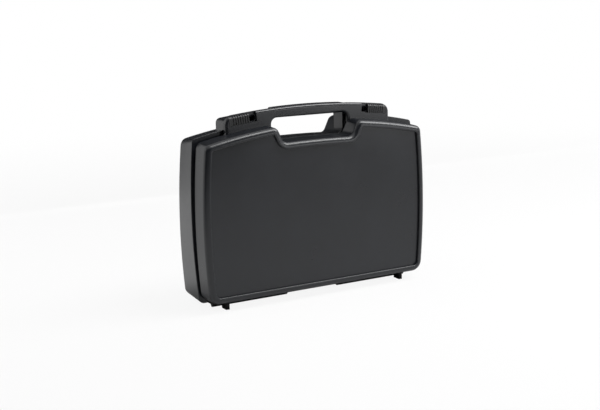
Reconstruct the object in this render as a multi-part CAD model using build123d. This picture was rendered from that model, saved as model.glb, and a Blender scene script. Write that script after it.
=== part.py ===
"""Moulded carrying case for measuring probes: a shallow lid and a deeper base, hinged at
the bottom, with a carrying handle moulded on the lid, two sliding latches on the handle's
ends, feet to stand on, and foam inside.

Frame: X to the right, Y to the rear, Z up, as the closed case stands. The origin is on the
standing plane, below the middle of the case.  Sizes are in millimetres, angles in degrees.
"""
import os
from math import asin, degrees, hypot, radians, sqrt, tan

from build123d import *

# Overall shape, taken at the lid's rim
case_width = 402.0
lid_depth = 36.0
base_depth = 64.0
shell_bottom = 12.0
shell_crown = 280.0
top_arc_radius = 850.0
side_arc_radius = 1200.0
side_widest_height = 132.0
bottom_corner_radius = 20.0
top_corner_radius = 12.0

# Hand notch in the top edge, below the handle
notch_floor_height = 252.5
handle_root_lift = 2.0  # the handle and the ears start this far above the notch's floor
notch_floor_rise = 1.2
notch_floor_half = 60.0
notch_mouth_half = 72.0
notch_mouth_height = 277.0
notch_shoulder_radius = 12.0
notch_root_radius = 9.0

# Mouldings
wall = 3.0
hollow_bevel = 3.0
lid_draft = 3.5
lid_edge_radius = 8.0
panel_inset = 12.0
panel_recess = 4.0
panel_lip_radius = 1.6
base_edge_radius = 5.5
least_corner_radius = 3.0

# How far the base's outline lies inside the lid's (outside where negative), and the radius
# of its corners, at its rim and at its back
base_rim_side = -3.0
base_rim_top = -6.5
base_rim_bottom = -3.0
base_rim_floor = 0.5
base_rim_widest_height = 142.0
base_rim_low_radius = 9.0
base_rim_high_radius = 6.0
base_back_side = 1.2
base_back_top = 1.5
base_back_bottom = -2.0
base_back_floor = 4.0
base_back_widest_height = 116.0
base_back_low_radius = 13.0
base_back_high_radius = 13.0

# Rims: a groove all round the parting line, a neck in it, and the base's locating lip
groove_width = 6.4
groove_depth = 2.5
rim_bevel = 0.8
rim_gap = 0.3
neck_thickness = 2.7
neck_root = 3.0
lip_height = 3.0
lip_thickness = 1.8
lip_clearance = 0.35

# Handle on the lid
handle_crown = 303.5
handle_arc_radius = 1150.0
handle_half = 147.5
handle_end_radius = 14.0
handle_front = 8.0
handle_foot_radius = 3.0
handle_edge_radius = 4.4
gap_half = 68.7
gap_top = 286.5
gap_corner_radius = 10.0
end_block_back = 0.5
bar_half = 62.5
bar_back = 18.0
bar_edge_radius = 6.0
bar_skin = 2.6
bar_rib_thickness = 2.0
bar_rib_count = 5

# Ears on the base, behind the handle's ends
ear_inner = 64.5
ear_outer = 146.0
ear_drop = 5.5
ear_back = 34.0
ear_inner_radius = 10.0
ear_outer_radius = 8.0
ear_foot_radius = 5.0
ear_edge_radius = 5.0
ear_wall = 2.6
ear_ribs = (86.0, 106.0)
keeper_thickness = 3.0
keeper_width = 11.0

# Latches: a ribbed button in a recess of the handle's end, and a bolt behind the wall
latch_middle = 125.0
latch_drop = 2.0
button_length = 34.0
button_height = 13.6
button_thickness = 3.8
button_top_thickness = 3.2
button_edge_radius = 4.4
button_rib_count = 7
button_rib_pitch = 4.0
button_rib_depth = 1.0
latch_travel = 12.5
slide_gap = 0.3
recess_back_wall = 2.0
recess_hole_margin = 1.0
recess_hole_radius = 4.5
stem_length = 9.0
stem_height = 4.6
bolt_plate_length = 20.0
bolt_plate_height = 7.4
bolt_plate_thickness = 2.4
hook_thickness = 3.4
hook_nose = 3.0
hook_nose_slope = 2.1
hook_nose_thickness = 3.2
hook_clearance = 0.4

# Hinges under the bottom edge
hinge_inner = 47.0
hinge_inset = 23.0
hinge_knuckles = 5
knuckle_radius = 4.0
knuckle_gap = 0.4
knuckle_clearance = 0.4
hinge_axis_height = 6.0
lid_opening = 100.0
pin_radius = 1.75
pin_fit = 0.05
pin_recess = 1.0
leaf_thickness = 3.2
lid_leaf_reach = 6.0
base_leaf_reach = 16.0

# Feet
foot_inset = 40.7
foot_thickness = 6.6
front_foot_start = 15.0
rear_foot_length = 46.0
heel_clearance = 0.5
foot_edge_radius = 1.5

# Foam
foam_gap = 0.35
lid_foam_thickness = 24.0
base_pad_thickness = 14.0
insert_face = 1.5
pocket_corner_radius = 8.0
instrument_pocket = (100.0, 168.0)
instrument_pocket_middle = (-123.0, 146.0)
long_pocket = (320.0, 26.0)
long_pocket_middle = (0.0, 41.0)
short_pocket = (220.0, 26.0)
short_pocket_left = -48.0
short_pocket_low = 82.0
short_pocket_pitch = 44.0
short_pocket_count = 4
finger_scallop_radius = 16.0

# Places along Y
case_depth = lid_depth + base_depth
front_y = -case_depth / 2
back_y = case_depth / 2
parting_y = front_y + lid_depth
panel_y = front_y + panel_recess
lid_rim_y = parting_y - groove_width / 2
base_rim_y = parting_y + groove_width / 2
half_width = case_width / 2


def crossing(circle_a, circle_b, pick):
    """The crossing of two circles (x, z, r) for which pick is largest."""
    (xa, za, ra), (xb, zb, rb) = circle_a, circle_b
    gap = hypot(xb - xa, zb - za)
    along = (ra * ra - rb * rb + gap * gap) / (2 * gap)
    across = sqrt(ra * ra - along * along)
    ux, uz = (xb - xa) / gap, (zb - za) / gap
    places = [(xa + along * ux - s * across * uz, za + along * uz + s * across * ux) for s in (1, -1)]
    return max(places, key=pick)


def outline(side=0.0, top=0.0, bottom=0.0, floor_drop=0.0, corners=0.0,
            low_radius=bottom_corner_radius, high_radius=top_corner_radius,
            widest_height=side_widest_height):
    """The case's front outline as a face in the XZ plane, drawn in from the lid's rim by
    the given amounts, its round corners tightened by corners."""
    side_circle = (half_width - side_arc_radius, widest_height, side_arc_radius - side)
    top_circle = (0.0, shell_crown - top_arc_radius, top_arc_radius - top)
    low = shell_bottom + bottom
    low_x = side_circle[0] + sqrt(side_circle[2] ** 2 - (low - side_circle[1]) ** 2)
    high_x, high_z = crossing(side_circle, top_circle, lambda p: p[0] + p[1])
    lean = (notch_mouth_half - notch_floor_half) / (notch_mouth_height - notch_floor_height)
    shift = floor_drop * sqrt(1 + lean * lean)
    floor = notch_floor_height - floor_drop
    root_x = notch_floor_half + lean * (floor - notch_floor_height) + shift

    def wall_x(z):
        return root_x + lean * (z - floor)

    shoulder_z = shell_crown - top
    shoulder_passes = 4  # each pass brings the corner closer to both lines
    for _ in range(shoulder_passes):
        shoulder_z = top_circle[1] + sqrt(top_circle[2] ** 2 - wall_x(shoulder_z) ** 2)
    shoulder_x = wall_x(shoulder_z)
    side_x = side_circle[0] + side_circle[2]
    mid_x = (high_x + shoulder_x) / 2
    mid_z = top_circle[1] + sqrt(top_circle[2] ** 2 - mid_x ** 2)
    half = [
        Line((0, low), (low_x, low)),
        ThreePointArc((low_x, low), (side_x, widest_height), (high_x, high_z)),
        ThreePointArc((high_x, high_z), (mid_x, mid_z), (shoulder_x, shoulder_z)),
        Line((shoulder_x, shoulder_z), (root_x, floor)),
    ]
    crown = ThreePointArc((root_x, floor), (0, floor + notch_floor_rise), (-root_x, floor))
    mirrored = [edge.mirror(Plane.YZ) for edge in half]
    face = make_face(Curve() + half[1:] + [crown] + mirrored[1:] + [Line((-low_x, low), (low_x, low))])
    rounds = [
        ((low_x, low), max(low_radius - corners, least_corner_radius)),
        ((high_x, high_z), max(high_radius - corners, least_corner_radius)),
        ((shoulder_x, shoulder_z), max(notch_shoulder_radius - corners, least_corner_radius)),
        ((root_x, floor), notch_root_radius + corners),
    ]
    for (x, z), radius in rounds:
        spots = [v for v in face.vertices() if abs(abs(v.X) - x) < 0.01 and abs(v.Y - z) < 0.01]
        face = fillet(spots, radius)
    return face.face()


def slab(face, start, end, taper=0.0):
    """A front outline made solid between two places along Y, from start to end."""
    way = (0, 1, 0) if end > start else (0, -1, 0)
    return extrude(Plane.XZ.offset(-start) * face, amount=abs(end - start), dir=way, taper=taper)


def block(x, y, z):
    """A box given by its limits along X, Y and Z."""
    size = (x[1] - x[0], y[1] - y[0], z[1] - z[0])
    return Pos(x[0], y[0], z[0]) * Box(*size, align=(Align.MIN, Align.MIN, Align.MIN))


def between(near, near_y, far, far_y):
    """A solid drawn straight from one front outline to another."""
    return loft([Plane.XZ.offset(-near_y) * near, Plane.XZ.offset(-far_y) * far], ruled=True)


def ring(inset, thickness, start, end):
    """A wall of even thickness that follows the case's outline."""
    outer = slab(even_outline(inset), start, end)
    return outer - slab(even_outline(inset + thickness), start, end)


def even_outline(inset):
    return outline(inset, inset, inset, inset, inset)


def edges_at(solid, y):
    return [e for e in solid.edges() if abs(e.bounding_box().min.Y - y) < 0.01
            and abs(e.bounding_box().max.Y - y) < 0.01]


def arch(x, drop=0.0):
    """Height of the handle's arched top at x."""
    return handle_crown - drop - handle_arc_radius + sqrt(handle_arc_radius ** 2 - x * x)


def arched_face(inner, outer, drop, low):
    """The face below the handle's arch, between two places along X."""
    middle = (inner + outer) / 2
    top = ThreePointArc((inner, arch(inner, drop)), (middle, arch(middle, drop)), (outer, arch(outer, drop)))
    sides = Polyline((outer, arch(outer, drop)), (outer, low), (inner, low), (inner, arch(inner, drop)))
    return make_face(Curve() + [top, sides])


def round_spots(face, spots, radius):
    """Rounds the face's corners that lie at the given places."""
    corners = [v for v in face.vertices() if any(hypot(v.X - x, v.Y - z) < 0.05 for x, z in spots)]
    return fillet(corners, radius)


def round_foot(solid, x, radius):
    """Rounds the concave corner where an upright wall at x meets the case's top."""
    upright = solid.edges().filter_by(Axis.Y).filter_by(lambda e: abs(e.center().X - x) < 0.01)
    return fillet(upright.sort_by(Axis.Z)[:1], radius)


# Places that several pieces share
handle_y = parting_y - handle_front
block_back_y = parting_y - end_block_back
latch_tilt = degrees(asin(latch_middle / handle_arc_radius))
button_rest_height = arch(latch_middle, latch_drop)
recess_floor_y = handle_y + button_thickness + slide_gap
button_back_y = block_back_y - recess_back_wall - slide_gap
bolt_top = latch_drop - ear_drop - ear_wall - 2 * slide_gap
stem_middle = bolt_top - bolt_plate_height / 2
bolt_y = block_back_y + slide_gap
plate_back_y = bolt_y + bolt_plate_thickness
nose_y = base_rim_y + keeper_thickness + slide_gap * 2
keeper_edge = ear_outer - ear_wall - keeper_width
foot_middle = half_width - foot_inset
hinge_outer = half_width - hinge_inset
hinge_middle = (hinge_inner + hinge_outer) / 2
knuckle_length = (hinge_outer - hinge_inner - knuckle_gap * (hinge_knuckles - 1)) / hinge_knuckles


def base_outline(y, inset=0.0):
    """The base's outline at a place along Y, from its rim to its back."""
    share = (y - base_rim_y) / (back_y - base_rim_y)

    def at(rim, back):
        return rim + share * (back - rim)

    return outline(at(base_rim_side, base_back_side) + inset, at(base_rim_top, base_back_top) + inset,
                   at(base_rim_bottom, base_back_bottom) + inset, at(base_rim_floor, base_back_floor) + inset,
                   inset, at(base_rim_low_radius, base_back_low_radius),
                   at(base_rim_high_radius, base_back_high_radius),
                   at(base_rim_widest_height, base_back_widest_height))


def base_part(near_y, near_inset, far_y, far_inset):
    """The base's shape between two places along Y, drawn in there by the given amounts."""
    return between(base_outline(near_y, near_inset), near_y, base_outline(far_y, far_inset), far_y)


def at_latch(piece):
    """Places a piece made in the right-hand latch's own frame: X outward along the slide,
    Z square to it, from the top of the button's middle."""
    return Pos(latch_middle, 0, button_rest_height) * Rot(0, latch_tilt, 0) * piece


def lid_body():
    """The lid's outside, before it is hollowed."""
    body = slab(outline(), lid_rim_y, front_y, lid_draft)
    body = fillet(edges_at(body, front_y), lid_edge_radius)
    return chamfer(edges_at(body, lid_rim_y), rim_bevel)


def lid_hollow():
    """The space inside the lid, deeper behind the rounded frame than behind the panel."""
    hollow = slab(even_outline(wall), lid_rim_y, front_y + wall, lid_draft)
    hollow = chamfer(edges_at(hollow, front_y + wall), hollow_bevel)
    return hollow - slab(even_outline(panel_inset - wall), front_y, panel_y + wall)


def base_body():
    """The base's outside, before it is hollowed."""
    bevel_y = base_rim_y + rim_bevel
    body = base_part(bevel_y, 0, back_y, 0)
    body = fillet(edges_at(body, back_y), base_edge_radius)
    return body + base_part(base_rim_y, rim_bevel, bevel_y, 0)


def base_hollow():
    floor_y = back_y - wall
    hollow = base_part(base_rim_y, wall, floor_y - hollow_bevel, wall)
    return hollow + base_part(floor_y - hollow_bevel, wall, floor_y, wall + hollow_bevel)


def hinge_channel():
    """Room for the hinge barrels in both shells."""
    length = hinge_outer - hinge_inner + 2 * knuckle_gap
    return both_sides(rod(hinge_middle, knuckle_radius + knuckle_clearance, length))


def handle_outline():
    """The handle as one face with the top of the lid, open in the middle for the hand."""
    face = arched_face(-handle_half, handle_half, 0, notch_floor_height)
    face = round_spots(face, [(-handle_half, arch(handle_half)), (handle_half, arch(handle_half))],
                       handle_end_radius)
    low = shell_bottom
    gap = Pos(0, (gap_top + low) / 2) * Rectangle(2 * gap_half, gap_top - low)
    gap = round_spots(gap, [(-gap_half, gap_top), (gap_half, gap_top)], gap_corner_radius)
    return ((face - gap) + outline()).face()


def handle_front_part():
    """The handle's front, with its edges rounded, down to the lid's top."""
    part = slab(handle_outline(), lid_rim_y, handle_y)
    for x in (-handle_half, handle_half):
        part = round_foot(part, x, handle_foot_radius)
    return fillet(edges_at(part, handle_y), handle_edge_radius)


def end_block():
    """The rear of the handle's right-hand end, behind the lid's rim."""
    face = arched_face(gap_half, handle_half, 0, notch_floor_height)
    face = round_spots(face, [(handle_half, arch(handle_half))], handle_end_radius)
    face = face - even_outline(-rim_gap)
    return slab(face, lid_rim_y, block_back_y)


def grip_bar():
    """The bar that the hand holds: it reaches back between the ears, and is cored from the
    rear, with ribs across the core."""
    top_face = arched_face(-bar_half, bar_half, 0, gap_top)
    bar = slab(top_face, handle_y + handle_edge_radius, parting_y + bar_back)
    back = edges_at(bar, parting_y + bar_back)
    bar = fillet([e for e in back if e.length > bar_half], bar_edge_radius)
    core = slab(arched_face(-bar_half + bar_skin, bar_half - bar_skin, bar_skin, gap_top + bar_skin),
                handle_y + handle_edge_radius + bar_skin, parting_y + bar_back + 1)
    pitch = 2 * bar_half / (bar_rib_count + 1)
    for i in range(bar_rib_count):
        x = -bar_half + (i + 1) * pitch
        core -= block((x - bar_rib_thickness / 2, x + bar_rib_thickness / 2),
                      (front_y, back_y), (gap_top, handle_crown))
    return bar - core


def latch_recess():
    """The recess that the button slides in, the slot in its wall for the stem, and the
    round-cornered hole through its free end."""
    inner = -button_length / 2 - latch_travel - slide_gap
    outer = button_length / 2 + slide_gap
    low = -button_height - slide_gap
    front = block((inner, outer), (handle_y - 1, recess_floor_y), (low, handle_crown))
    top = block((inner, outer), (handle_y - 1, block_back_y - recess_back_wall),
                (-button_top_thickness - slide_gap, handle_crown))
    slot_low = stem_middle - stem_height / 2 - slide_gap
    slot_high = stem_middle + stem_height / 2 + slide_gap
    slot = block((-stem_length / 2 - latch_travel - slide_gap, stem_length / 2 + slide_gap),
                 (handle_y, parting_y), (slot_low, slot_high))
    hole = block((inner + recess_hole_margin, -button_length / 2),
                 (handle_y, parting_y), (low + recess_hole_margin, -button_top_thickness))
    hole = fillet(hole.edges().filter_by(Axis.Y), recess_hole_radius)
    return at_latch(front + top + slot + hole)


def both_sides(piece):
    return piece + piece.mirror(Plane.YZ)


def make_lid_shell():
    hollow = lid_hollow()
    shell = lid_body() - hollow
    panel = slab(even_outline(panel_inset), panel_y, front_y - 1)
    shell -= panel
    lip_edges = edges_at(shell, front_y)
    shell = fillet(lip_edges, panel_lip_radius)
    handle = handle_front_part() - hollow - slab(even_outline(wall), lid_rim_y, handle_y)
    handle_root = notch_floor_height + handle_root_lift
    handle &= block((-case_width, case_width), (front_y, back_y), (handle_root, case_width))
    shell += handle
    shell += both_sides(end_block())
    shell += grip_bar()
    shell += ring(groove_depth, neck_thickness, lid_rim_y - neck_root, parting_y - rim_gap / 2)
    shell -= both_sides(latch_recess())
    return shell - hinge_channel()


def ear_face(inset=0.0):
    face = arched_face(ear_inner + inset, ear_outer - inset, ear_drop + inset, notch_floor_height)
    face = round_spots(face, [(ear_inner + inset, arch(ear_inner + inset, ear_drop + inset))],
                       ear_inner_radius - inset)
    return round_spots(face, [(ear_outer - inset, arch(ear_outer - inset, ear_drop + inset))],
                       ear_outer_radius - inset)


def make_ear(outside, hollow):
    """The right-hand ear: a box on the base's top, open to the front, with ribs across it
    and the keeper that the latch's hook passes."""
    face = (ear_face() + base_outline(parting_y + ear_back)).face()
    ear = round_foot(slab(face, base_rim_y, parting_y + ear_back), ear_outer, ear_foot_radius)
    ear = fillet(edges_at(ear, parting_y + ear_back), ear_edge_radius)
    ear_root = notch_floor_height + handle_root_lift
    ear &= block((0, case_width), (front_y, back_y), (ear_root, case_width))
    ear -= hollow
    pocket = slab(ear_face(ear_wall), base_rim_y - 1, parting_y + ear_back - ear_wall) - outside
    for x in ear_ribs:
        pocket -= block((x - ear_wall / 2, x + ear_wall / 2), (front_y, back_y), (0, handle_crown))
    pocket -= block((keeper_edge, ear_outer), (base_rim_y, base_rim_y + keeper_thickness), (0, handle_crown))
    return ear, pocket


def make_base_shell():
    outside = base_body()
    hollow = base_hollow()
    shell = outside - hollow
    ear, pocket = make_ear(outside, hollow)
    shell += both_sides(ear)
    shell -= both_sides(pocket)
    flange = slab(base_outline(base_rim_y), base_rim_y, base_rim_y + neck_root)
    flange -= slab(even_outline(groove_depth + neck_thickness), base_rim_y, base_rim_y + neck_root)
    shell += flange & outside
    shell += ring(groove_depth, neck_thickness, parting_y + rim_gap / 2, base_rim_y + neck_root)
    lip_inset = groove_depth + neck_thickness + lip_clearance
    shell += ring(lip_inset - 1, lip_thickness + 1, parting_y + rim_gap / 2, base_rim_y + neck_root)
    shell += ring(lip_inset, lip_thickness, parting_y - lip_height, base_rim_y)
    return shell - hinge_channel()


def make_button():
    """The latch's button, round over its front top edge and ribbed but for its outer end,
    with the stem behind it."""
    def section(skin):
        face = make_face(Polyline((handle_y + skin, -button_height), (handle_y + skin, -skin),
                                  (button_back_y, -skin), (button_back_y, -button_height), close=True))
        return round_spots(face, [(handle_y + skin, -skin)], button_edge_radius - skin)

    def run(face, start, end):
        return extrude(Plane.YZ.offset(start) * face, amount=end - start)

    ribs_end = -button_length / 2 + button_rib_count * button_rib_pitch
    button = run(section(button_rib_depth), -button_length / 2, ribs_end)
    for i in range(button_rib_count):
        start = -button_length / 2 + i * button_rib_pitch
        button += run(section(0), start, start + button_rib_pitch / 2)
    button += run(section(0), ribs_end, button_length / 2)
    under = block((-button_length, button_length), (handle_y + button_thickness, back_y),
                  (-2 * button_height, -button_top_thickness))
    button -= under
    stem = block((-stem_length / 2, stem_length / 2), (handle_y + button_thickness, plate_back_y),
                 (stem_middle - stem_height / 2, stem_middle + stem_height / 2))
    return at_latch(button + stem)


def make_bolt():
    """The plate that holds the stem behind the wall, with the hook that passes the keeper."""
    low = stem_middle - bolt_plate_height / 2
    high = stem_middle + bolt_plate_height / 2
    tip = keeper_edge - latch_middle - hook_clearance
    arm_outer = tip - hook_nose
    plate = block((-bolt_plate_length / 2, arm_outer), (bolt_y, plate_back_y), (low, high))
    arm = block((arm_outer - hook_thickness, arm_outer), (bolt_y, nose_y + hook_nose_thickness), (low, high))
    nose = block((arm_outer - hook_thickness, tip), (nose_y, nose_y + hook_nose_thickness), (low, high))
    nose = chamfer(nose.edges().filter_by(Axis.Z).sort_by(lambda e: e.center().X + e.center().Y)[-1:],
                   hook_nose_slope)
    stem = block((-stem_length / 2, stem_length / 2), (bolt_y, plate_back_y),
                 (stem_middle - stem_height / 2, stem_middle + stem_height / 2))
    return at_latch(plate + arm + nose - stem)


def rod(middle, radius, length):
    """A round bar on the hinge's axis, with its middle at the given place along X."""
    return Pos(middle, parting_y, hinge_axis_height) * Rot(0, 90, 0) * Cylinder(radius, length)


def knuckle_middle(number):
    return hinge_inner + number * (knuckle_length + knuckle_gap) + knuckle_length / 2


def make_leaf(own, other, reach_y, wall_height, outside, foot):
    """A right-hand hinge leaf: a plate below the shell's bottom wall, with a notch for the
    foot, and its knuckles. The foot is given by its limits along Y."""
    leaf = block((hinge_inner, hinge_outer), sorted([reach_y, parting_y]),
                 (wall_height - leaf_thickness, wall_height + groove_depth - slide_gap))
    leaf -= outside
    for number in other:
        leaf -= rod(knuckle_middle(number), knuckle_radius + knuckle_clearance,
                    knuckle_length + 2 * knuckle_gap)
    for number in own:
        leaf += rod(knuckle_middle(number), knuckle_radius, knuckle_length)
    leaf -= foot_block(foot, slide_gap)
    return leaf - rod(hinge_middle, pin_radius + pin_fit, case_width)


def foot_block(limits, grow=0.0):
    half = foot_thickness / 2 + grow
    return block((foot_middle - half, foot_middle + half), (limits[0] - grow, limits[1] + grow),
                 (0, shell_bottom + groove_depth - slide_gap + grow))


def make_foot(limits, outside):
    """A foot below the shell's bottom wall, with its sole on the standing plane, given by
    its limits along Y."""
    foot = foot_block(limits)
    return fillet(foot.edges().filter_by(Axis.Z), foot_edge_radius) - outside


def make_insert():
    """The cut foam in the base: one large pocket and rows of long ones, all through it."""
    back = back_y - wall - foam_gap - base_pad_thickness - foam_gap
    inset = groove_depth + neck_thickness + lip_clearance + lip_thickness + foam_gap
    insert = slab(even_outline(inset), parting_y + insert_face, back)
    for (length, height), (x, z), scallop in pocket_list():
        hole = Pos(x, z) * RectangleRounded(length, height, pocket_corner_radius)
        hole += Pos(scallop[0], scallop[1]) * Circle(scallop[2])
        insert -= slab(hole, parting_y + insert_face - 1, back + 1)
    return insert


def pocket_list():
    """Each pocket's size, middle and finger scallop."""
    x, z = instrument_pocket_middle
    edge = x + instrument_pocket[0] / 2
    pockets = [(instrument_pocket, (x, z), (edge, z, finger_scallop_radius))]
    x, z = long_pocket_middle
    pockets.append((long_pocket, (x, z), (x, z, finger_scallop_radius)))
    x = short_pocket_left + short_pocket[0] / 2
    for i in range(short_pocket_count):
        z = short_pocket_low + i * short_pocket_pitch
        pockets.append((short_pocket, (x, z), (x, z, finger_scallop_radius)))
    return pockets


def make_base_pad():
    inset = groove_depth + neck_thickness + lip_clearance + lip_thickness + foam_gap
    pad_back = back_y - wall - foam_gap
    pad = slab(even_outline(inset), pad_back - base_pad_thickness, pad_back)
    return chamfer(edges_at(pad, pad_back), hollow_bevel)


def make_lid_foam():
    inset = groove_depth + neck_thickness + 2 * foam_gap
    start = panel_y + wall + foam_gap
    return slab(even_outline(inset), start, start + lid_foam_thickness)


def save(name, piece):
    solids = piece.solids()
    shape = solids[0] if len(solids) == 1 else Compound(children=list(solids))
    shape.label = name
    export_step(shape, f"parts/{name}.step")


def save_pair(name, piece):
    save(f"{name}_right", piece)
    save(f"{name}_left", piece.mirror(Plane.YZ))


def main():
    os.makedirs("parts", exist_ok=True)
    lid_outside = lid_body()
    base_outside = base_body()
    save("base_shell", make_base_shell())
    save("lid_shell", make_lid_shell())
    save("foam_insert", make_insert())
    save("base_pad", make_base_pad())
    save("lid_foam", make_lid_foam())
    save_pair("latch_button", make_button())
    save_pair("latch_bolt", make_bolt())
    front_foot = (front_y + front_foot_start, parting_y - knuckle_radius - slide_gap)
    rear_foot_y = parting_y + hinge_axis_height * tan(radians(lid_opening / 2)) + heel_clearance
    rear_foot = (rear_foot_y, rear_foot_y + rear_foot_length)
    save_pair("front_foot", make_foot(front_foot, lid_outside))
    save_pair("rear_foot", make_foot(rear_foot, base_outside))
    lid_knuckles = range(0, hinge_knuckles, 2)
    base_knuckles = range(1, hinge_knuckles, 2)
    save_pair("lid_hinge_leaf", make_leaf(lid_knuckles, base_knuckles, lid_rim_y - lid_leaf_reach,
                                          shell_bottom, lid_outside, front_foot))
    save_pair("base_hinge_leaf", make_leaf(base_knuckles, lid_knuckles, base_rim_y + base_leaf_reach,
                                           shell_bottom + base_rim_bottom, base_outside,
                                           rear_foot))
    save_pair("hinge_pin", rod(hinge_middle, pin_radius, hinge_outer - hinge_inner - 2 * pin_recess))


if __name__ == "__main__":
    main()
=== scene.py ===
"""Finishes for a moulded carrying case: satin and matt plastics, rubber feet, steel hinge
pins, and the three foam pieces inside, with a plain studio round the case.

Lengths are in metres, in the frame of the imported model: X to the right, Y to the rear,
Z up, with the origin on the standing plane below the middle of the case.
"""

from math import cos, pi, radians, sin

import bpy
import numpy as np
from mathutils import Matrix, Vector
from mathutils.geometry import tessellate_polygon


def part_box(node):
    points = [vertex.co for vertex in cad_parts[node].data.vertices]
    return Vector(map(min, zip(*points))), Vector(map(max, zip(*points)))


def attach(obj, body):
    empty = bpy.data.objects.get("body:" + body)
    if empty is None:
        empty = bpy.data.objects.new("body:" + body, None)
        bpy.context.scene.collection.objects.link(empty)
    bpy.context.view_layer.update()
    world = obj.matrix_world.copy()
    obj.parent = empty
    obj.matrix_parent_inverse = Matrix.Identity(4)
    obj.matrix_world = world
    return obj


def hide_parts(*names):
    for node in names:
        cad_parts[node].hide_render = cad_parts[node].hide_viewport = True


bl_info = {
    "name": "Probe carrying case",
    "version": (1, 0, 0),
    "blender": (4, 5, 0),
    "location": "3D View > Sidebar > Case",
    "description": "Finishes, foam and studio for a moulded carrying case",
    "category": "Object",
}

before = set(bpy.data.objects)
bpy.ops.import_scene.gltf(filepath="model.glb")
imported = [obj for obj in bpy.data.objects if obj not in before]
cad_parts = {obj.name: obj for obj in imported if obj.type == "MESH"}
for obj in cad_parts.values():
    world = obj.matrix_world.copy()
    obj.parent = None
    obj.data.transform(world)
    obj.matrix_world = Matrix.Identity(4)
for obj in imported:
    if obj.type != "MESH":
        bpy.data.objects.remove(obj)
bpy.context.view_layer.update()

SIDES = ("right", "left")
MM = 0.001
TINY = 1e-9


# The case's outline: flat arcs at the sides and the top, and the hand notch in the top

HALF_WIDTH = 201 * MM
HALF_DEPTH = 50 * MM
SHELL_BOTTOM = 12 * MM
SHELL_CROWN = 280 * MM
TOP_ARC = 850 * MM
SIDE_ARC = 1200 * MM
SIDE_WIDEST = 132 * MM
LOW_CORNER = 20 * MM
HIGH_CORNER = 12 * MM
NOTCH_FLOOR = 252.5 * MM
NOTCH_FLOOR_RISE = 1.2 * MM
NOTCH_FLOOR_HALF = 60 * MM
NOTCH_MOUTH_HALF = 72 * MM
NOTCH_MOUTH = 277 * MM
NOTCH_SHOULDER = 12 * MM
NOTCH_ROOT = 9 * MM
SMALLEST_CORNER = 3 * MM

# Rounds in which a corner between two arcs is found
SHOULDER_PASSES = 4
CORNER_PASSES = 6

# Points on each stretch of the outline, before it is spaced evenly
SIDE_POINTS = 60
TOP_POINTS = 40
FLOOR_POINTS = 20

# How far a stretch keeps from the corners that round it, in radii
CORNER_CLEARANCE = 1.05
ROOT_CLEARANCE = 0.7


def side_x(z, inset):
    """Half width at height z: a flat arc, drawn in by inset."""
    return HALF_WIDTH - SIDE_ARC + np.sqrt((SIDE_ARC - inset) ** 2 - (z - SIDE_WIDEST) ** 2)


def crown_z(x, inset):
    """Height of the arched top at x, drawn in by inset."""
    return SHELL_CROWN - TOP_ARC + np.sqrt((TOP_ARC - inset) ** 2 - x ** 2)


def high_corner_at(inset):
    """Where the side and the top meet before the corner is rounded, as x and z."""
    x = HALF_WIDTH - inset
    for _ in range(CORNER_PASSES):
        z = crown_z(x, inset)
        x = side_x(z, inset)
    return x, z


def rounded(corner, before, after, radius, steps=10):
    """Points of the arc that rounds a corner between the points before and after it."""
    into = (corner - before) / np.linalg.norm(corner - before)
    out = (after - corner) / np.linalg.norm(after - corner)
    turn = np.arccos(np.clip(into @ out, -1, 1))
    start = corner - into * radius * np.tan(turn / 2)
    left = np.array((-into[1], into[0]))
    side = 1 if left @ out > 0 else -1
    angle = np.linspace(0, turn, steps)[:, None]
    return start + radius * (np.sin(angle) * into + side * (1 - np.cos(angle)) * left)


def clear_of(corner, radius, points):
    """The points that stand clear of a corner's rounding."""
    return points[np.linalg.norm(points - corner, axis=1) > radius * CORNER_CLEARANCE]


def resample(loop, step, fewest=12):
    """The closed loop again, with points evenly spaced about step apart."""
    closed = np.vstack((loop, loop[:1]))
    along = np.concatenate(((0,), np.cumsum(np.linalg.norm(np.diff(closed, axis=0), axis=1))))
    count = max(int(along[-1] / step), fewest)
    places = np.linspace(0, along[-1], count, endpoint=False)
    return np.stack([np.interp(places, along, closed[:, k]) for k in (0, 1)], axis=1)


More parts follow.
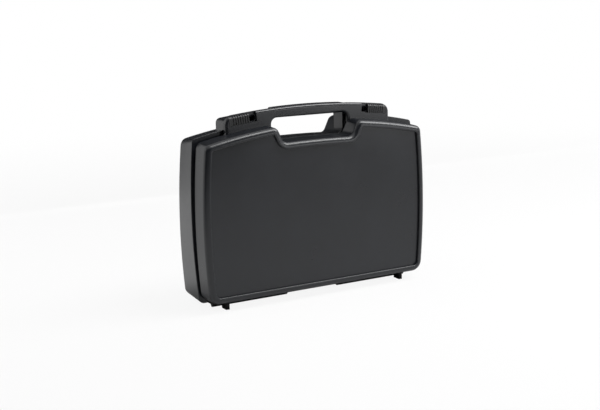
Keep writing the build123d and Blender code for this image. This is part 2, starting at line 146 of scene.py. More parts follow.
def case_loop(inset, step=3 * MM):
    """The case's outline drawn in by inset: flat arcs at the sides and top, a straight
    bottom, the hand notch, and rounded corners, as points (x, z) in order."""
    low = SHELL_BOTTOM + inset
    floor = NOTCH_FLOOR - inset
    lean = (NOTCH_MOUTH_HALF - NOTCH_FLOOR_HALF) / (NOTCH_MOUTH - NOTCH_FLOOR)
    root_x = NOTCH_FLOOR_HALF + lean * (floor - NOTCH_FLOOR) + inset * np.hypot(1, lean)
    shoulder_z = SHELL_CROWN - inset
    for _ in range(SHOULDER_PASSES):
        shoulder_x = root_x + lean * (shoulder_z - floor)
        shoulder_z = crown_z(shoulder_x, inset)
    high_x, high_z = high_corner_at(inset)
    low_corner = np.array((side_x(low, inset), low))
    high_corner = np.array((high_x, high_z))
    shoulder = np.array((shoulder_x, shoulder_z))
    root = np.array((root_x, floor))

    side_z = np.linspace(low, high_z, SIDE_POINTS)[1:-1]
    side = np.stack((side_x(side_z, inset), side_z), axis=1)
    top_x = np.linspace(high_x, shoulder_x, TOP_POINTS)[1:-1]
    top = np.stack((top_x, crown_z(top_x, inset)), axis=1)
    floor_x = np.linspace(root_x, 0, FLOOR_POINTS)
    floor_z = floor + NOTCH_FLOOR_RISE * (1 - (floor_x / root_x) ** 2)
    floor_line = np.stack((floor_x, floor_z), axis=1)

    low_r = max(LOW_CORNER - inset, SMALLEST_CORNER)
    high_r = max(HIGH_CORNER - inset, SMALLEST_CORNER)
    shoulder_r = max(NOTCH_SHOULDER - inset, SMALLEST_CORNER)
    root_r = NOTCH_ROOT + inset
    middle = np.array(((0.0, low),))
    side = clear_of(high_corner, high_r, clear_of(low_corner, low_r, side))
    top = clear_of(shoulder, shoulder_r, clear_of(high_corner, high_r, top))
    floor_line = clear_of(root, root_r * ROOT_CLEARANCE, floor_line)
    half = np.vstack((
        middle,
        rounded(low_corner, middle[0], side[0], low_r),
        side,
        rounded(high_corner, side[-1], top[0], high_r),
        top,
        rounded(shoulder, top[-1], root, shoulder_r),
        rounded(root, shoulder, floor_line[0], root_r),
        floor_line,
    ))
    mirrored = half[::-1][1:-1] * (-1, 1)
    return resample(np.vstack((half, mirrored)), step)


# Shader expressions

# Numbers of the colour sockets on a mix node, which share their names with others
MIX_FIRST, MIX_SECOND, MIX_RESULT = 6, 7, 2


class Link:
    """A shader socket that can be used in an expression on numbers."""

    def __init__(self, tree, socket):
        self.tree = tree
        self.socket = socket

    def math(self, operation, *others):
        node = self.tree.nodes.new("ShaderNodeMath")
        node.operation = operation
        for place, value in enumerate((self,) + others):
            plug(self.tree, node.inputs[place], value)
        return Link(self.tree, node.outputs[0])

    def __add__(self, other):
        return self.math("ADD", other)

    def __mul__(self, other):
        return self.math("MULTIPLY", other)

    def __sub__(self, other):
        return self.math("SUBTRACT", other)

    def __rsub__(self, other):
        return (self * -1.0).math("ADD", other)

    __radd__ = __add__

    def spread(self, low, high, to_low=0.0, to_high=1.0):
        """The value's range low to high carried smoothly to another range."""
        node = self.tree.nodes.new("ShaderNodeMapRange")
        node.interpolation_type = "SMOOTHSTEP"
        plug(self.tree, node.inputs["Value"], self)
        ends = {"From Min": low, "From Max": high, "To Min": to_low, "To Max": to_high}
        for name, value in ends.items():
            node.inputs[name].default_value = value
        return Link(self.tree, node.outputs["Result"])


def plug(tree, socket, value):
    """Gives a socket a link or a plain value."""
    if isinstance(value, Link):
        tree.links.new(value.socket, socket)
    elif socket.type == "RGBA" and len(value) == 3:
        socket.default_value = (*value, 1.0)
    else:
        socket.default_value = value


class Finish:
    """A material with one principled shader, and the nodes that feed it."""

    def __init__(self, name):
        self.material = bpy.data.materials.new(name)
        self.material.use_nodes = True
        self.tree = self.material.node_tree
        self.shader = self.tree.nodes["Principled BSDF"]
        self.place = Link(self.tree, self.tree.nodes.new("ShaderNodeTexCoord").outputs["Object"])

    def node(self, kind, output, **inputs):
        made = self.tree.nodes.new(kind)
        for key, value in inputs.items():
            plug(self.tree, made.inputs[key.replace("_", " ")], value)
        return Link(self.tree, made.outputs[output])

    def noise(self, size, detail=2.0, roughness=0.5, place=None):
        """Noise with features about size metres across."""
        return self.node("ShaderNodeTexNoise", "Fac", Vector=place or self.place, Scale=1 / size,
                         Detail=detail, Roughness=roughness)

    def cells(self, size):
        """Distance to the nearest of points strewn about size metres apart."""
        return self.node("ShaderNodeTexVoronoi", "Distance", Vector=self.place, Scale=1 / size)

    def axis(self, name):
        return self.node("ShaderNodeSeparateXYZ", name, Vector=self.place)

    def drawn(self, share):
        """The place with X shrunk to a share of itself, which draws noise out along X."""
        return self.node("ShaderNodeMapping", "Vector", Vector=self.place, Scale=(share, 1.0, 1.0))

    def blend(self, factor, first, second):
        """A colour between two, by the factor."""
        made = self.tree.nodes.new("ShaderNodeMix")
        made.data_type = "RGBA"
        plug(self.tree, made.inputs["Factor"], factor)
        plug(self.tree, made.inputs[MIX_FIRST], first)
        plug(self.tree, made.inputs[MIX_SECOND], second)
        return Link(self.tree, made.outputs[MIX_RESULT])

    def bump(self, height, depth, strength, under=None):
        inputs = {"Height": height, "Distance": depth, "Strength": strength}
        if under is not None:
            inputs["Normal"] = under
        return self.node("ShaderNodeBump", "Normal", **inputs)

    def shade(self, **sockets):
        for key, value in sockets.items():
            plug(self.tree, self.shader.inputs[key.replace("_", " ")], value)
        return self.material


def tint(colour, factor):
    return tuple(min(c * factor, 1.0) for c in colour)


# Finishes

# Features of the moulded plastic, by size
FLOW_SIZE = 60 * MM
CLOUD_SIZE = 9 * MM
SCUFF_SIZE = 5 * MM
PIT_SIZE = 0.9 * MM
GRAIN_SIZE = 0.55 * MM
CLOUD_DEPTH = 0.05 * MM

# How far its shade and its gloss vary with them, and with wear
FLOW_SHADES = (0.90, 1.10)
SCUFF_SHADE = 2.2
SCUFF_SHARE = 0.35
SCUFF_RANGE = (0.66, 0.80)
FLOW_GLOSS = 0.10
CLOUD_GLOSS = 0.08
SCUFF_GLOSS = 0.10
RUBBED_GLOSS = 0.12

# Where the handle is rubbed: full and no wear across, and from no to full wear going up
RUBBED_HALF = (50 * MM, 68 * MM)
RUBBED_HEIGHT = (284 * MM, 292 * MM)

SINK_MARKS = ((119 * MM, 37 * MM), (-119 * MM, 37 * MM))
SINK_MARK_RADIUS = 9 * MM
SINK_MARK_DEPTH = 0.12 * MM
SINK_MARK_FLOOR = 0.4


def moulded_plastic(name, colour, roughness, grain, polish=None):
    """Satin moulded plastic: spark-eroded grain, slow changes of gloss and of shade, as
    where the melt ran, and a little dust-grey scuffing on a few spots."""
    finish = Finish(name)
    flow = finish.noise(FLOW_SIZE, detail=3.0)
    cloud = finish.noise(CLOUD_SIZE, detail=4.0, roughness=0.6)
    fine = finish.noise(GRAIN_SIZE, detail=2.0, roughness=0.6)
    pits = finish.cells(PIT_SIZE)
    scuff = finish.noise(SCUFF_SIZE, detail=6.0, roughness=0.72).spread(*SCUFF_RANGE)
    dark, pale = (tint(colour, factor) for factor in FLOW_SHADES)
    shade = finish.blend(flow.spread(0.3, 0.7), dark, pale)
    shade = finish.blend(scuff * SCUFF_SHARE, shade, tint(colour, SCUFF_SHADE))
    gloss = roughness + (flow - 0.5) * FLOW_GLOSS + (cloud - 0.5) * CLOUD_GLOSS
    gloss = gloss + scuff * SCUFF_GLOSS
    if polish is not None:
        gloss = gloss - polish(finish) * RUBBED_GLOSS
    normal = finish.bump(fine + pits * 0.5, depth=grain, strength=0.6)
    normal = finish.bump(cloud, depth=CLOUD_DEPTH, strength=0.25, under=normal)
    return finish, shade, gloss, normal


def shell_material(settings, with_marks):
    """The shells' plastic. The lid's has two faint round sink marks low on its panel, and
    its handle is smoother where hands rub it."""
    def worn(finish):
        across = finish.axis("X").math("ABSOLUTE").spread(*RUBBED_HALF, 1.0, 0.0)
        up = finish.axis("Z").spread(*RUBBED_HEIGHT)
        return across * up

    name = "lid_plastic" if with_marks else "base_plastic"
    finish, shade, gloss, normal = moulded_plastic(
        name, settings.shell_colour, settings.shell_roughness, settings.grain_depth,
        worn if with_marks else None)
    if with_marks:
        x, z = finish.axis("X"), finish.axis("Z")
        mark = 0.0
        for mark_x, mark_z in SINK_MARKS:
            dx, dz = x - mark_x, z - mark_z
            away = (dx * dx + dz * dz).math("SQRT")
            flat = SINK_MARK_RADIUS * SINK_MARK_FLOOR
            mark = mark + away.spread(flat, SINK_MARK_RADIUS, 1.0, 0.0)
        normal = finish.bump(mark * -1.0, depth=SINK_MARK_DEPTH, strength=0.5, under=normal)
    return finish.shade(Base_Color=shade, Roughness=gloss, Normal=normal,
                        Specular_IOR_Level=settings.shell_specular)


def latch_material(settings):
    finish, shade, gloss, normal = moulded_plastic(
        "latch_plastic", settings.latch_colour, settings.latch_roughness, settings.grain_depth)
    return finish.shade(Base_Color=shade, Roughness=gloss, Normal=normal,
                        Specular_IOR_Level=settings.shell_specular)


def hinge_material(settings):
    """Dull black plastic with faint drag lines along the barrels."""
    finish, shade, gloss, normal = moulded_plastic(
        "hinge_plastic", settings.hinge_colour, settings.hinge_roughness, settings.grain_depth)
    drag = finish.noise(0.8 * MM, place=finish.drawn(0.08))
    normal = finish.bump(drag, depth=0.03 * MM, strength=0.4, under=normal)
    return finish.shade(Base_Color=shade, Roughness=gloss, Normal=normal,
                        Specular_IOR_Level=settings.shell_specular)


def rubber_material(settings):
    """Black rubber, rough all over and dusty grey near the sole."""
    colour = settings.rubber_colour
    dusty_height = 3 * MM
    finish = Finish("foot_rubber")
    grit = finish.noise(0.7 * MM, detail=5.0, roughness=0.65)
    patch = finish.noise(3 * MM, detail=4.0, roughness=0.6)
    sole = finish.axis("Z").spread(0.0, dusty_height, 1.0, 0.0) * patch.spread(0.35, 0.65)
    shade = finish.blend(grit, tint(colour, 0.75), tint(colour, 1.3))
    shade = finish.blend(sole * 0.5, shade, tint(colour, 3.5))
    normal = finish.bump(grit, depth=0.08 * MM, strength=0.7)
    return finish.shade(Base_Color=shade, Roughness=0.78 + (patch - 0.5) * 0.14, Normal=normal,
                        Specular_IOR_Level=0.25)


def steel_material(settings):
    """Drawn steel pin: fine lines along it, slightly tarnished."""
    colour = settings.steel_colour
    finish = Finish("pin_steel_drawn")
    lines = finish.noise(0.25 * MM, detail=3.0, roughness=0.6, place=finish.drawn(0.03))
    tarnish = finish.noise(4 * MM, detail=4.0, roughness=0.6)
    shade = finish.blend(tarnish.spread(0.4, 0.75), colour, tint(colour, 0.6))
    normal = finish.bump(lines, depth=0.01 * MM, strength=0.6)
    return finish.shade(Base_Color=shade, Roughness=0.28 + tarnish * 0.2, Metallic=1.0,
                        Normal=normal)


def foam_material(settings, cut):
    """Open-cell foam: pores a millimetre or so across, with painted shade in their hollows,
    and on a cut face the slight waviness that the blade leaves."""
    colour = settings.foam_colour
    finish = Finish("foam_cut" if cut else "foam_convoluted")
    pores = finish.cells(1.3 * MM)
    small = finish.cells(0.6 * MM)
    cloud = finish.noise(25 * MM, detail=3.0)
    fuzz = finish.noise(0.5 * MM, detail=4.0, roughness=0.7)
    # Painted shade: the foam's colour darkens towards the middle of each pore, where its hollow
    # sinks
    painted_pore_shade = pores.spread(0.10, 0.55)
    shade = finish.blend(painted_pore_shade, tint(colour, 0.55), tint(colour, 1.15))
    shade = finish.blend(cloud.spread(0.35, 0.65) * 0.25, shade, tint(colour, 1.5))
    normal = finish.bump(pores + small * 0.5 + fuzz * 0.4, depth=0.45 * MM, strength=0.9)
    if cut:
        waves = finish.noise(12 * MM, roughness=0.4)
        normal = finish.bump(waves, depth=0.5 * MM, strength=0.3, under=normal)
    return finish.shade(Base_Color=shade, Roughness=0.93 - painted_pore_shade * 0.05, Normal=normal,
                        Specular_IOR_Level=0.15)


def dress(nodes, material):
    """Gives CAD nodes a finish."""
    for name in nodes:
        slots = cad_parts[name].data.materials
        slots.clear()
        slots.append(material)


def pairs(*names):
    return [f"{name}_{side}" for name in names for side in SIDES]


# Meshes


def mesh_piece(name, points, faces, material, smooth=True):
    """An object at the origin from points and faces worked out beforehand."""
    mesh = bpy.data.meshes.new(name)
    mesh.from_pydata(points.tolist(), [], [list(f) for f in faces])
    mesh.validate()
    mesh.polygons.foreach_set("use_smooth", np.full(len(mesh.polygons), smooth))
    mesh.update()
    piece = bpy.data.objects.new(name, mesh)
    bpy.context.scene.collection.objects.link(piece)
    mesh.materials.append(material)
    return piece


def at_depth(loop, y):
    """Points (x, z) of a loop as points in space at depth y."""
    return np.stack((loop[:, 0], np.full(len(loop), y), loop[:, 1]), axis=1)


def quads(rows, count, closed):
    """Faces between rows of count points each. Closed joins a row's last point to its
    first."""
    last = count if closed else count - 1
    i, j = np.meshgrid(np.arange(rows - 1), np.arange(last), indexing="ij")
    here, beside = i * count + j, i * count + (j + 1) % count
    return np.stack((here, beside, beside + count, here + count), axis=-1).reshape(-1, 4)


def cap(loops, starts, turned=False):
    """Triangles that fill the first loop, less the others, by the numbers of their points."""
    flat = [[Vector((x, z, 0.0)) for x, z in loop] for loop in loops]
    corners = np.array(tessellate_polygon(flat))
    numbers = [np.arange(len(loop)) + start for loop, start in zip(loops, starts)]
    faces = np.concatenate(numbers)[corners]
    points = np.vstack(loops)
    a, b, c = (points[corners[:, k]] for k in range(3))
    area = (b[:, 0] - a[:, 0]) * (c[:, 1] - a[:, 1]) - (b[:, 1] - a[:, 1]) * (c[:, 0] - a[:, 0])
    backward = area > 0 if turned else area < 0
    faces[backward] = faces[backward][:, ::-1]
    return faces


# Foam pieces

# Kept between a detailed surface and the box of the solid that it replaces
CAD_MARGIN = 0.05 * MM

# The convoluted sheet's grid, and the rounds in which it is fitted to the outline
SHEET_COLUMNS = 241
SHEET_ROWS = 161
SHEET_STEP = 1 * MM
SHEET_PASSES = 8
WAVE_POWER = 1.15

# Where the sheet's top follows the hand notch: this far past the notch's mouth, and on
# the points of the outline that lie this far above its bottom
NOTCH_MARGIN = 12 * MM
NOTCH_ABOVE = 60 * MM
NOTCH_SHARE = 0.98

# Steps in the rounding of a cut edge, and directions in which a pocket is measured
EDGE_STEPS = 4
DIRECTIONS = 2880
POCKET_STEP = 2 * MM
PAD_EDGE = 3 * MM

# The pockets, as in the solid of the cut foam
INSTRUMENT_POCKET = (100 * MM, 168 * MM)
INSTRUMENT_MIDDLE = (-123 * MM, 146 * MM)
INSTRUMENT_SCALLOP = (-73 * MM, 146 * MM)
LONG_POCKET = (320 * MM, 26 * MM)
LONG_MIDDLE = (0.0, 41 * MM)
PROBE_POCKET = (220 * MM, 26 * MM)
PROBE_X = 62 * MM
PROBE_HEIGHTS = (82 * MM, 126 * MM, 170 * MM, 214 * MM)


def convoluted_sheet(name, inset, flat_y, valley, peak, pitch, material):
    """Convoluted foam: flat at the back, and over the front a field of smooth peaks and
    valleys. Its thickness goes from valley to peak with w to the power 1.15, where
    w = 1/2 + (cos(2 pi x / pitch) + cos(2 pi (z - middle) / pitch)) / 4. The grid follows
    the case's outline: its columns bend with the sides and its rows with the crown and
    notch."""
    loop = case_loop(inset, SHEET_STEP)
    upper = loop[loop[:, 1] > SHELL_BOTTOM + NOTCH_ABOVE]
    notch_side = NOTCH_MOUTH_HALF + NOTCH_SHOULDER + NOTCH_MARGIN
    notch = upper[np.abs(upper[:, 0]) < notch_side]
    notch = notch[np.argsort(notch[:, 0])]

    def top(x):
        in_notch = np.interp(x, notch[:, 0], notch[:, 1])
        return np.where(np.abs(x) < notch_side * NOTCH_SHARE, in_notch, crown_z(x, inset))

    across = np.linspace(-1, 1, SHEET_COLUMNS)
    up = np.linspace(0, 1, SHEET_ROWS)
    u, v = np.meshgrid(across, up, indexing="ij")
    low = SHELL_BOTTOM + inset
    x = u * side_x(np.array(SIDE_WIDEST), inset)
    for _ in range(SHEET_PASSES):
        z = low + v * (top(x) - low)
        x = u * side_x(z, inset)

    # The grid's square corners are pulled in to the outline's round ones
    for sign_x in (-1, 1):
        for high in (False, True):
            radius = (HIGH_CORNER if high else LOW_CORNER) - inset
            corner_x, corner_z = high_corner_at(inset) if high else (side_x(low, inset), low)
            centre_x = sign_x * (corner_x - radius)
            centre_z = corner_z - radius if high else corner_z + radius
            dx = (x - centre_x) * sign_x / radius
            dz = (z - centre_z) * (1 if high else -1) / radius
            inside = (dx > 0) & (dz > 0)
            square = np.maximum(dx, dz)
            shrink = np.where(inside, square / np.maximum(np.hypot(dx, dz), TINY), 1.0)
            x = np.where(inside, centre_x + (x - centre_x) * shrink, x)
            z = np.where(inside, centre_z + (z - centre_z) * shrink, z)

    wave = (np.cos(2 * pi * x / pitch) + np.cos(2 * pi * (z - SIDE_WIDEST) / pitch)) / 4 + 0.5
    y = flat_y + valley + (peak - valley) * wave ** WAVE_POWER
    front = np.stack((x, y, z), axis=-1).reshape(-1, 3)
    number = np.arange(len(front)).reshape(SHEET_COLUMNS, SHEET_ROWS)
    rim = np.concatenate((number[:, 0], number[-1, 1:], number[-2::-1, -1], number[0, -2:0:-1]))
    back = front[rim].copy()
    back[:, 1] = flat_y
    count = len(rim)
    behind = len(front) + np.arange(count)
    wall = np.stack((rim, behind, np.roll(behind, -1), np.roll(rim, -1)), axis=-1)
    fill = cap([back[:, (0, 2)]], [len(front)])
    faces = [tuple(f) for part in (quads(SHEET_COLUMNS, SHEET_ROWS, False), wall, fill)
             for f in part]
    return mesh_piece(name, np.vstack((front, back)), faces, material)


def pocket_loop(size, middle, scallop, scallop_r, corner):
    """A pocket's outline: a rectangle with round corners, joined with the round scallop
    that lets a finger in. It is measured from its middle in every direction, and the
    farther of the two shapes counts."""
    half_x, half_z = size[0] / 2, size[1] / 2
    scallop_x, scallop_z = scallop[0] - middle[0], scallop[1] - middle[1]

    def circle(cx, cz, r, c, s):
        along = cx * c + cz * s
        inside = r * r - (cx * s - cz * c) ** 2
        return np.where(inside > 0, along + np.sqrt(np.maximum(inside, 0)), 0)

    angle = np.linspace(0, 2 * pi, DIRECTIONS, endpoint=False)
    c, s = np.cos(angle), np.sin(angle)
    ax, az = np.abs(c), np.abs(s)
    box = np.minimum(half_x / np.maximum(ax, TINY), half_z / np.maximum(az, TINY))
    hit_x, hit_z = box * ax, box * az
    in_corner = (hit_x > half_x - corner) & (hit_z > half_z - corner)
    arc = circle(half_x - corner, half_z - corner, corner, ax, az)
    body = np.where(in_corner, np.minimum(box, np.maximum(arc, 0)), box)
    reach = np.maximum(body, circle(scallop_x, scallop_z, scallop_r, c, s))
    return resample(np.stack((reach * c, reach * s), axis=1), POCKET_STEP) + middle


def moved_in(loop, distance, outer):
    """The loop moved square to itself, into the foam."""
    ahead = np.roll(loop, -1, axis=0) - np.roll(loop, 1, axis=0)
    ahead /= np.linalg.norm(ahead, axis=1)[:, None]
    normal = np.stack((-ahead[:, 1], ahead[:, 0]), axis=1)
    x, z = loop[:, 0], loop[:, 1]
    area = np.sum(x * np.roll(z, -1) - np.roll(x, -1) * z)
    into = 1 if (area > 0) == outer else -1
    return loop + normal * distance * into


def foam_slab(name, outline, pockets, front_y, back_y, edge, material):
    """Cut foam between two depths, with an outline and pockets right through it. Each
    wall runs from front to back, with a quarter circle of radius edge at either end."""
    turn = np.linspace(0, pi / 2, EDGE_STEPS)
    profile = [(edge * (1 - np.sin(t)), front_y + edge * (1 - np.cos(t))) for t in turn]
    profile += [(edge * (1 - np.cos(t)), back_y - edge * (1 - np.sin(t))) for t in turn]
    points, faces, fronts, backs, starts, ends = [], [], [], [], [], []
    total = 0
    for loop in (outline, *pockets):
        outer = loop is outline
        count = len(loop)
        inner = moved_in(loop, edge, outer)
        rows = [at_depth(loop + (inner - loop) * (into / edge), y) for into, y in profile]
        points += rows
        wall = quads(len(rows), count, closed=True) + total
        faces += [tuple(f) for f in (wall if outer else wall[:, ::-1])]
        fronts.append(rows[0][:, (0, 2)])
        backs.append(rows[-1][:, (0, 2)])
        starts.append(total)
        ends.append(total + count * (len(rows) - 1))
        total += count * len(rows)
    faces += [tuple(f) for f in cap(fronts, starts)]
    faces += [tuple(f) for f in cap(backs, ends, turned=True)]
    return mesh_piece(name, np.vstack(points), faces, material, smooth=False)


def pocket_places():
    """Size, middle and scallop middle of each pocket."""
    places = [(INSTRUMENT_POCKET, INSTRUMENT_MIDDLE, INSTRUMENT_SCALLOP),
              (LONG_POCKET, LONG_MIDDLE, LONG_MIDDLE)]
    return places + [(PROBE_POCKET, (PROBE_X, z), (PROBE_X, z)) for z in PROBE_HEIGHTS]


# Studio

FLOOR_HALF_SIDE = 20.0
FLOOR_GREY = (0.7, 0.7, 0.7)

# How much of the floor is clear to the camera near the case, and from where to where
# that rises to all of it
CLEAR_SHARE = 0.9
CLEARING = (0.4, 2.5)

# How white the floor is to glossy rays, and how far from the footprint that sets in
GLOW_SHARE = 0.9
GLOW_REACH = 0.12

CARD_GREY = (0.02, 0.02, 0.02)

# Dark cards: the ends of the foot, and the heights of foot and top
CARDS = {
    "front_card": (((-1.5, -1.0), (1.5, -1.0)), 0.04, 1.3),
    "left_card": (((-0.85, -0.75), (-0.85, -0.02)), 0.02, 0.9),
    "rear_card": (((-0.35, 0.9), (1.8, 0.9)), 0.04, 1.3),
}

# Lamps: place, and width and height. All aim at the middle of the case
LAMP_TARGET = (0.0, 0.0, 0.15)
TOP_LAMP = ((0.9, -0.5, 1.55), (1.7, 0.7))
SIDE_LAMP = ((-1.9, 0.3, 0.9), (1.0, 1.2))
FILL_LAMP = ((0.5, -0.8, 0.35), (0.6, 0.3))

SENSOR_WIDTH = 36.0


def ray_kinds(tree, *names):
    """1 for rays of any of the kinds named, 0 for all others."""
    path = tree.nodes.new("ShaderNodeLightPath")
    kinds = [Link(tree, path.outputs[f"Is {name} Ray"]) for name in names]
    found = kinds[0]
    for kind in kinds[1:]:
        found = found.math("MAXIMUM", kind)
    return found


def pale_room(scene, strength):
    """An even room. It is full white to the camera and in glossy and clear surfaces,
    whatever the strength of its light."""
    world = bpy.data.worlds.new("pale_room")
    scene.world = world
    world.use_nodes = True
    tree = world.node_tree
    back = tree.nodes["Background"]
    back.inputs["Color"].default_value = (1, 1, 1, 1)
    seen = ray_kinds(tree, "Camera", "Glossy", "Transmission").math("MAXIMUM", strength)
    tree.links.new(seen.socket, back.inputs["Strength"])


def floor_material(half_width, half_depth):
    """Pale floor. The white room shows through it to the camera, wholly so far out, so
    that no horizon shows and a lid swung below it is seen, and lamps shine through it.
    Glossy surfaces see white in it too. That fades out towards the case's footprint, where
    they see the matt floor and the case's shade on it."""
    finish = Finish("pale_floor")
    tree = finish.tree
    tree.nodes.remove(finish.shader)
    x, y = finish.axis("X"), finish.axis("Y")
    beyond_x = (x.math("ABSOLUTE") - half_width).math("MAXIMUM", 0.0)
    beyond_y = (y.math("ABSOLUTE") - half_depth).math("MAXIMUM", 0.0)
    away = (beyond_x * beyond_x + beyond_y * beyond_y).math("SQRT")
    glowing = ray_kinds(tree, "Glossy") * away.spread(0.0, GLOW_REACH, 0.0, GLOW_SHARE)
    fading = (x * x + y * y).math("SQRT").spread(*CLEARING, CLEAR_SHARE, 1.0)
    seen_through = ray_kinds(tree, "Camera", "Transmission") * fading
    clearing = seen_through.math("MAXIMUM", ray_kinds(tree, "Shadow"))
    surface = finish.node("ShaderNodeBsdfDiffuse", "BSDF", Color=FLOOR_GREY)
    glow = finish.node("ShaderNodeEmission", "Emission", Color=(1.0, 1.0, 1.0), Strength=1.0)
    clear = finish.node("ShaderNodeBsdfTransparent", "BSDF", Color=(1.0, 1.0, 1.0))
    for share, over in ((glowing, glow), (clearing, clear)):
        mix = tree.nodes.new("ShaderNodeMixShader")
        for place, value in enumerate((share, surface, over)):
            plug(tree, mix.inputs[place], value)
        surface = Link(tree, mix.outputs[0])
    tree.links.new(surface.socket, tree.nodes["Material Output"].inputs["Surface"])
    return finish.material


def dark_card(name, ends, foot, height):
    """A dark upright card between two points, out of the camera's sight. The case mirrors
    it, as it would the dark side of a studio."""
    finish = Finish(name)
    finish.shade(Base_Color=CARD_GREY, Roughness=1.0, Specular_IOR_Level=0.0)
    heights = (foot, foot, height, height)
    corners = np.array([(x, y, z) for (x, y), z in zip(ends + ends[::-1], heights)])
    card = mesh_piece(name, corners, [(0, 1, 2, 3)], finish.material, smooth=False)
    card.visible_camera = False


def soft_light(name, place, size, power):
    """A broad light aimed at the case, with its width along the case's as far as it can
    be."""
    data = bpy.data.lights.new(name, "AREA")
    data.shape = "RECTANGLE"
    data.size, data.size_y = size
    data.energy = power
    lamp = bpy.data.objects.new(name, data)
    bpy.context.scene.collection.objects.link(lamp)
    lamp.location = place
    behind = (Vector(place) - Vector(LAMP_TARGET)).normalized()
    across = (Vector((1, 0, 0)) - behind * behind.x).normalized()
    turn = Matrix((across, behind.cross(across), behind)).transposed()
    lamp.rotation_euler = turn.to_euler()


def place_camera(scene, settings):
    """The camera at the place and with the turns that were fitted to the photograph."""
    yaw, pitch, roll = settings.camera_yaw, settings.camera_pitch, settings.camera_roll
    ahead = Vector((sin(yaw) * cos(pitch), cos(yaw) * cos(pitch), -sin(pitch)))
    level = Vector((cos(yaw), -sin(yaw), 0.0))
    square = level.cross(ahead)
    right = level * cos(roll) + square * sin(roll)
    up = square * cos(roll) - level * sin(roll)
    data = bpy.data.cameras.new("camera")
    data.sensor_width = SENSOR_WIDTH
    data.lens = settings.lens
    camera = bpy.data.objects.new("camera", data)
    scene.collection.objects.link(camera)
    turn = Matrix((right, up, -ahead)).transposed()
    camera.matrix_world = Matrix.Translation(Vector(settings.camera_place)) @ turn.to_4x4()
    scene.camera = camera


# Settings


class CaseFinishSettings(bpy.types.PropertyGroup):
    """Colours and surface values of the case's plastics, rubber, steel and foam."""

    shell_colour: bpy.props.FloatVectorProperty(
        name="Shell colour", description="Plastic of the lid and the base", subtype="COLOR",
        size=3, min=0, max=1, default=(0.0100, 0.0113, 0.0142))
    shell_roughness: bpy.props.FloatProperty(
        name="Shell roughness", description="How dull the shells' plastic is",
        min=0, max=1, default=0.3)
    shell_specular: bpy.props.FloatProperty(
        name="Shell specular", description="Strength of the plastic's mirror part",
        min=0, max=1, default=0.46)
    grain_depth: bpy.props.FloatProperty(
        name="Grain depth", description="Depth of the spark-eroded grain", subtype="DISTANCE",
        unit="LENGTH", min=0, default=0.009 * MM)
    latch_colour: bpy.props.FloatVectorProperty(
        name="Latch colour", description="Plastic of the latch buttons and bolts",
        subtype="COLOR", size=3, min=0, max=1, default=(0.0075, 0.008, 0.009))
    latch_roughness: bpy.props.FloatProperty(
        name="Latch roughness", description="How dull the latches are",
        min=0, max=1, default=0.42)
    hinge_colour: bpy.props.FloatVectorProperty(
        name="Hinge colour", description="Plastic of the hinge leaves", subtype="COLOR",
        size=3, min=0, max=1, default=(0.010, 0.010, 0.011))
    hinge_roughness: bpy.props.FloatProperty(
        name="Hinge roughness", description="How dull the hinge leaves are",
        min=0, max=1, default=0.6)
    rubber_colour: bpy.props.FloatVectorProperty(
        name="Rubber colour", description="Rubber of the feet", subtype="COLOR",
        size=3, min=0, max=1, default=(0.008, 0.008, 0.0085))
    steel_colour: bpy.props.FloatVectorProperty(
        name="Steel colour", description="Steel of the hinge pins", subtype="COLOR",
        size=3, min=0, max=1, default=(0.50, 0.50, 0.51))
    foam_colour: bpy.props.FloatVectorProperty(
        name="Foam colour", description="Foam in the lid and the base", subtype="COLOR",
        size=3, min=0, max=1, default=(0.050, 0.051, 0.056))


class CaseFoamSettings(bpy.types.PropertyGroup):
    """Sizes of the foam pieces."""

    lid_inset: bpy.props.FloatProperty(
        name="Lid foam inset", description="From the lid's outline to the lid foam",
        subtype="DISTANCE", unit="LENGTH", default=6.0 * MM)
    base_inset: bpy.props.FloatProperty(
        name="Base foam inset", description="From the lid's outline to the base's foam",
        subtype="DISTANCE", unit="LENGTH", default=7.8 * MM)
    wave_pitch: bpy.props.FloatProperty(
        name="Wave pitch", description="From one peak of the lid's foam to the next",
        subtype="DISTANCE", unit="LENGTH", default=27 * MM)
    wave_valley: bpy.props.FloatProperty(
        name="Valley thickness", description="Thickness of the lid's foam in its valleys",
        subtype="DISTANCE", unit="LENGTH", default=9 * MM)
    cut_edge: bpy.props.FloatProperty(
        name="Cut edge", description="Rounding of the cut foam's edges", subtype="DISTANCE",
        unit="LENGTH", default=1.2 * MM)
    pocket_corner: bpy.props.FloatProperty(
        name="Pocket corner", description="Corner radius of the pockets", subtype="DISTANCE",
        unit="LENGTH", default=8 * MM)
    scallop: bpy.props.FloatProperty(
        name="Scallop radius", description="Radius of the finger scallops", subtype="DISTANCE",
        unit="LENGTH", default=16 * MM)


class CaseStudioSettings(bpy.types.PropertyGroup):
    """The camera and the lights."""

    lens: bpy.props.FloatProperty(
        name="Lens", description="Focal length on a 36 mm wide sensor",
        subtype="DISTANCE_CAMERA", default=62.4)
    camera_place: bpy.props.FloatVectorProperty(
        name="Camera place", description="Where the camera stands", subtype="TRANSLATION",
        unit="LENGTH", size=3, default=(-0.8093, -1.4302, 0.4607))
    camera_yaw: bpy.props.FloatProperty(
        name="Camera yaw", description="Turn of the view from +Y towards +X", subtype="ANGLE",
        default=radians(29.184))
    camera_pitch: bpy.props.FloatProperty(
        name="Camera pitch", description="Downward tilt of the view", subtype="ANGLE",
        default=radians(11.052))
    camera_roll: bpy.props.FloatProperty(
        name="Camera roll", description="Turn of the picture about the view's middle",
        subtype="ANGLE", default=radians(-1.31))
    world_strength: bpy.props.FloatProperty(
        name="Room light", description="Strength of the even light from all round",
        min=0, default=0.7)
    key_power: bpy.props.FloatProperty(
        name="Top light", description="Power of the broad light above",
        unit="POWER", min=0, default=36)
    side_power: bpy.props.FloatProperty(
        name="Side light", description="Power of the light at the left",
        unit="POWER", min=0, default=6)
    fill_power: bpy.props.FloatProperty(
        name="Fill light", description="Power of the low light in front",
        unit="POWER", min=0, default=1.6)


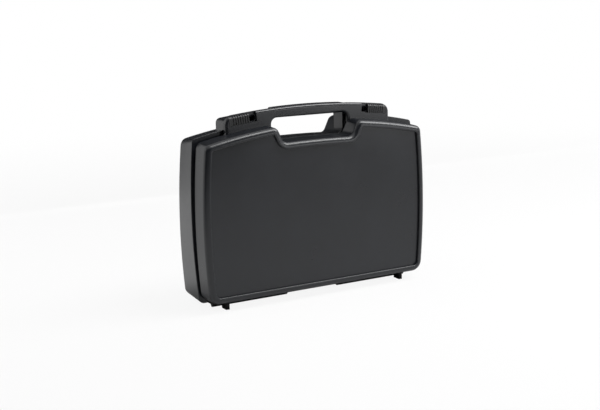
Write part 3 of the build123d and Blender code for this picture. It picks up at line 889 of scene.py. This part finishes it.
# Operators


class CASE_OT_shells(bpy.types.Operator):
    """Finishes the lid shell and the base shell"""

    bl_idname = "case.shells"
    bl_label = "Finish the shells"

    def execute(self, context):
        settings = context.scene.case_finish
        dress(["lid_shell"], shell_material(settings, with_marks=True))
        dress(["base_shell"], shell_material(settings, with_marks=False))
        return {"FINISHED"}


class CASE_OT_latches(bpy.types.Operator):
    """Finishes the latch buttons and bolts"""

    bl_idname = "case.latches"
    bl_label = "Finish the latches"

    def execute(self, context):
        dress(pairs("latch_button", "latch_bolt"), latch_material(context.scene.case_finish))
        return {"FINISHED"}


class CASE_OT_hinges(bpy.types.Operator):
    """Finishes the hinge leaves and their pins"""

    bl_idname = "case.hinges"
    bl_label = "Finish the hinges"

    def execute(self, context):
        settings = context.scene.case_finish
        dress(pairs("lid_hinge_leaf", "base_hinge_leaf"), hinge_material(settings))
        dress(pairs("hinge_pin"), steel_material(settings))
        return {"FINISHED"}


class CASE_OT_feet(bpy.types.Operator):
    """Finishes the four feet"""

    bl_idname = "case.feet"
    bl_label = "Finish the feet"

    def execute(self, context):
        dress(pairs("front_foot", "rear_foot"), rubber_material(context.scene.case_finish))
        return {"FINISHED"}


class CASE_OT_lid_foam(bpy.types.Operator):
    """Makes the convoluted foam in the lid"""

    bl_idname = "case.lid_foam"
    bl_label = "Make the lid foam"

    def execute(self, context):
        sizes = context.scene.case_foam
        low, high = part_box("lid_foam")
        thickness = high.y - low.y - 2 * CAD_MARGIN
        piece = convoluted_sheet("lid_foam_convoluted", sizes.lid_inset, low.y + CAD_MARGIN,
                                 sizes.wave_valley, thickness, sizes.wave_pitch,
                                 foam_material(context.scene.case_finish, cut=False))
        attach(piece, "lid")
        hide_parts("lid_foam")
        return {"FINISHED"}


class CASE_OT_cut_foam(bpy.types.Operator):
    """Makes the foam in the base with its cut pockets"""

    bl_idname = "case.cut_foam"
    bl_label = "Make the cut foam"

    def execute(self, context):
        sizes = context.scene.case_foam
        low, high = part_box("foam_insert")
        pockets = [pocket_loop(size, middle, scallop, sizes.scallop, sizes.pocket_corner)
                   for size, middle, scallop in pocket_places()]
        piece = foam_slab("cut_foam", case_loop(sizes.base_inset), pockets,
                          low.y + CAD_MARGIN, high.y - CAD_MARGIN, sizes.cut_edge,
                          foam_material(context.scene.case_finish, cut=True))
        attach(piece, "base")
        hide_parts("foam_insert")
        return {"FINISHED"}


class CASE_OT_base_pad(bpy.types.Operator):
    """Makes the foam pad at the back of the base"""

    bl_idname = "case.base_pad"
    bl_label = "Make the base pad"

    def execute(self, context):
        sizes = context.scene.case_foam
        low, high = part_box("base_pad")
        piece = foam_slab("base_foam_pad", case_loop(sizes.base_inset), [],
                          low.y + CAD_MARGIN, high.y - CAD_MARGIN, PAD_EDGE,
                          foam_material(context.scene.case_finish, cut=True))
        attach(piece, "base")
        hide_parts("base_pad")
        return {"FINISHED"}


class CASE_OT_studio(bpy.types.Operator):
    """Sets up the floor, the lights and the camera"""

    bl_idname = "case.studio"
    bl_label = "Set up the studio"

    def execute(self, context):
        settings = context.scene.case_studio
        context.scene.view_settings.view_transform = "Standard"
        pale_room(context.scene, settings.world_strength)

        side = FLOOR_HALF_SIDE
        corners = np.array(((-side, -side, 0), (side, -side, 0), (side, side, 0), (-side, side, 0)))
        mesh_piece("studio_floor", corners, [(0, 1, 2, 3)],
                            floor_material(HALF_WIDTH, HALF_DEPTH), smooth=False)
        for name, (ends, foot, height) in CARDS.items():
            dark_card(name, ends, foot, height)

        soft_light("top_light", *TOP_LAMP, settings.key_power)
        soft_light("side_light", *SIDE_LAMP, settings.side_power)
        soft_light("fill_light", *FILL_LAMP, settings.fill_power)
        place_camera(context.scene, settings)
        return {"FINISHED"}


class CASE_PT_sidebar(bpy.types.Panel):
    """Lists the case's settings and steps"""

    bl_idname = "CASE_PT_sidebar"
    bl_label = "Probe carrying case"
    bl_space_type = "VIEW_3D"
    bl_region_type = "UI"
    bl_category = "Case"

    def draw(self, context):
        for group_name in GROUPS:
            group = getattr(context.scene, group_name)
            box = self.layout.box()
            for name in group.__annotations__:
                box.prop(group, name)
        for step in STEPS:
            self.layout.operator(step.bl_idname)


STEPS = (CASE_OT_shells, CASE_OT_latches, CASE_OT_hinges, CASE_OT_feet, CASE_OT_lid_foam,
         CASE_OT_cut_foam, CASE_OT_base_pad, CASE_OT_studio)
GROUPS = {
    "case_finish": CaseFinishSettings,
    "case_foam": CaseFoamSettings,
    "case_studio": CaseStudioSettings,
}


def register():
    for kind in (*GROUPS.values(), *STEPS, CASE_PT_sidebar):
        bpy.utils.register_class(kind)
    for name, group in GROUPS.items():
        setattr(bpy.types.Scene, name, bpy.props.PointerProperty(type=group))


def unregister():
    for name in GROUPS:
        delattr(bpy.types.Scene, name)
    for kind in (CASE_PT_sidebar, *reversed(STEPS), *reversed(GROUPS.values())):
        bpy.utils.unregister_class(kind)


def main():
    register()
    bpy.ops.case.shells()
    bpy.ops.case.latches()
    bpy.ops.case.hinges()
    bpy.ops.case.feet()
    bpy.ops.case.lid_foam()
    bpy.ops.case.cut_foam()
    bpy.ops.case.base_pad()
    bpy.ops.case.studio()


if __name__ == "__main__":
    main()
